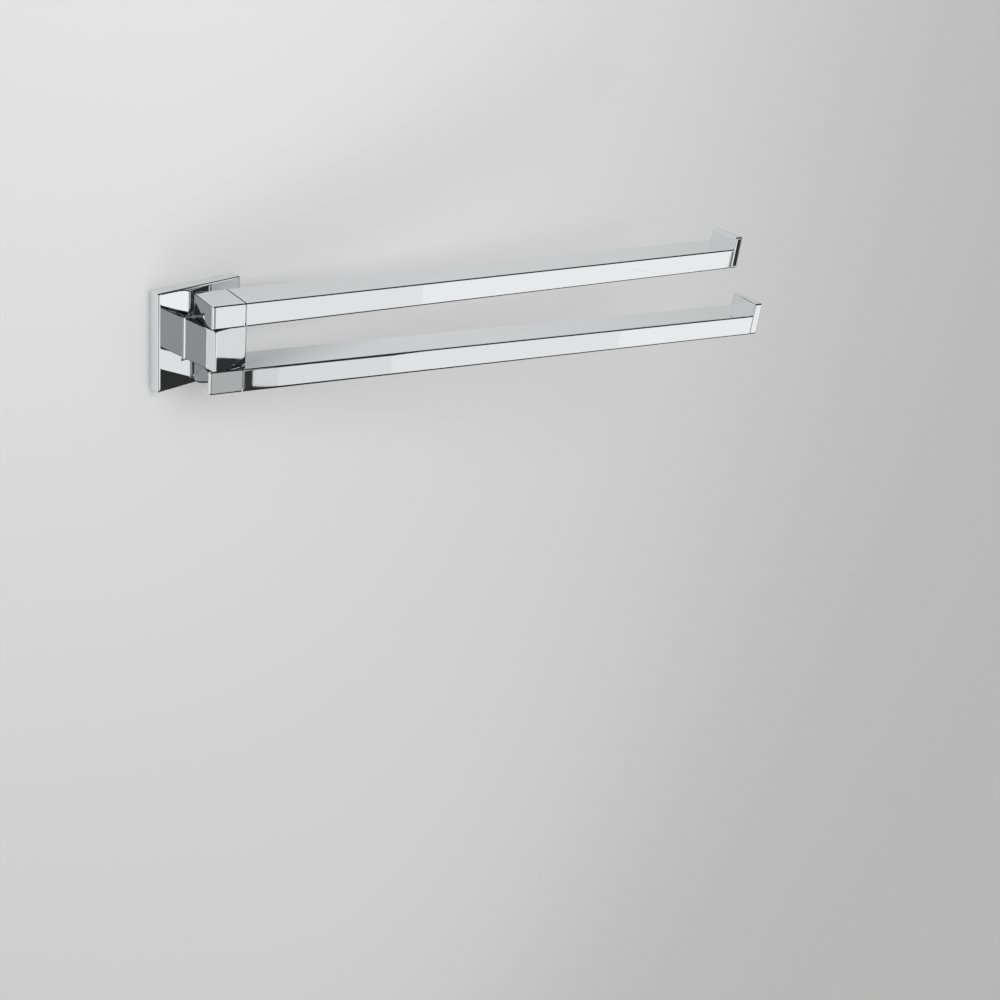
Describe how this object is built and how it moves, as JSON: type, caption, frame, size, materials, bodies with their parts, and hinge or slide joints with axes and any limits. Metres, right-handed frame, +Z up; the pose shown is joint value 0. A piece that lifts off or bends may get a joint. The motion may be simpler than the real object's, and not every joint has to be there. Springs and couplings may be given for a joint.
{
  "type": "swing arm towel bar",
  "caption": "Wall-mounted towel holder with two flat bars that swing sideways on one upright pivot in front of a square wall plate.",
  "frame": {"origin": "centre of the wall face, the back of the wall bracket and plate", "axes": "+X to the right along the wall, the way both arms point; +Y into the wall; +Z up"},
  "size_m": [0.3721, 0.1524, 0.0572],
  "materials": {
    "chrome": "polished chrome plate",
    "zinc_steel": "zinc-plated pressed steel",
    "screw_steel": "plain stainless steel",
    "pin_steel": "ground stainless steel",
    "nylon": "natural nylon"
  },
  "bodies": {
    "wall_mount": {"wall_bracket": "zinc_steel", "wall_plate": "chrome", "plate_set_screw": "screw_steel", "neck_block": "chrome", "neck_screws": "screw_steel", "pivot_pin": "pin_steel", "pin_lock_screw": "screw_steel", "upper_washer": "nylon", "lower_washer": "nylon"},
    "upper_arm": {"upper_knuckle": "chrome", "upper_bush": "nylon", "upper_retaining_screw": "screw_steel", "upper_bar": "chrome", "upper_end_plate": "chrome", "upper_bar_set_screw": "screw_steel", "upper_end_set_screw": "screw_steel"},
    "lower_arm": {"lower_knuckle": "chrome", "lower_bush": "nylon", "lower_retaining_screw": "screw_steel", "lower_bar": "chrome", "lower_end_plate": "chrome", "lower_bar_set_screw": "screw_steel", "lower_end_set_screw": "screw_steel"}
  },
  "joints": [
    {"name": "upper_swing", "type": "hinge", "parent": "wall_mount", "child": "upper_arm", "pos_m": [0, -0.0205, 0.01715], "axis": [0, 0, -1], "range_deg": [-15.3, 164.7]},
    {"name": "lower_swing", "type": "hinge", "parent": "wall_mount", "child": "lower_arm", "pos_m": [0, -0.0205, -0.01715], "axis": [0, 0, -1], "range_deg": [-20, 160]}
  ]
}
